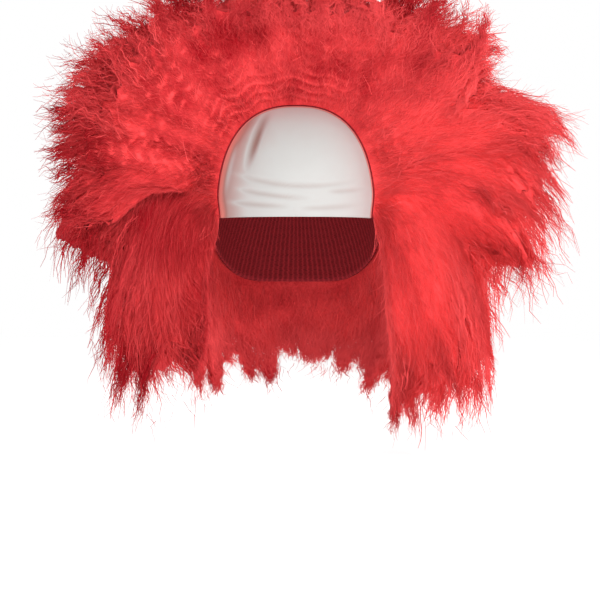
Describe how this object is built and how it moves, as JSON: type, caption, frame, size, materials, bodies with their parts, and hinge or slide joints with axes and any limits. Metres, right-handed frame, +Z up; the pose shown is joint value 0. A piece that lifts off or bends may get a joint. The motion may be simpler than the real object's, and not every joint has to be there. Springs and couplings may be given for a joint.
{
  "type": "clown wig",
  "caption": "Costume wig with a smooth white bald front and a very wide mass of crimped red hair on a hollow stretch cap, worn on the head.",
  "frame": {"origin": "top of the head space, where the inside of the cap sits on the crown of the head", "axes": "+Z up with the brow hem level, -Y out of the face opening, +X to the right of someone who looks at the front"},
  "size_m": [0.4878, 0.3272, 0.4294],
  "materials": {
    "front_stretch": "smooth matt white stretch skin",
    "cap_knit": "red knitted stretch cap",
    "red_hair": "crimped synthetic fibre with a soft sheen"
  },
  "bodies": {
    "root": {"forehead_panel": "front_stretch", "weft_cap": "cap_knit", "front_hair": "red_hair", "top_hair": "red_hair", "left_hair": "red_hair", "right_hair": "red_hair", "left_fall_hair": "red_hair", "right_fall_hair": "red_hair", "back_hair": "red_hair", "nape_hair": "red_hair"}
  },
  "joints": []
}
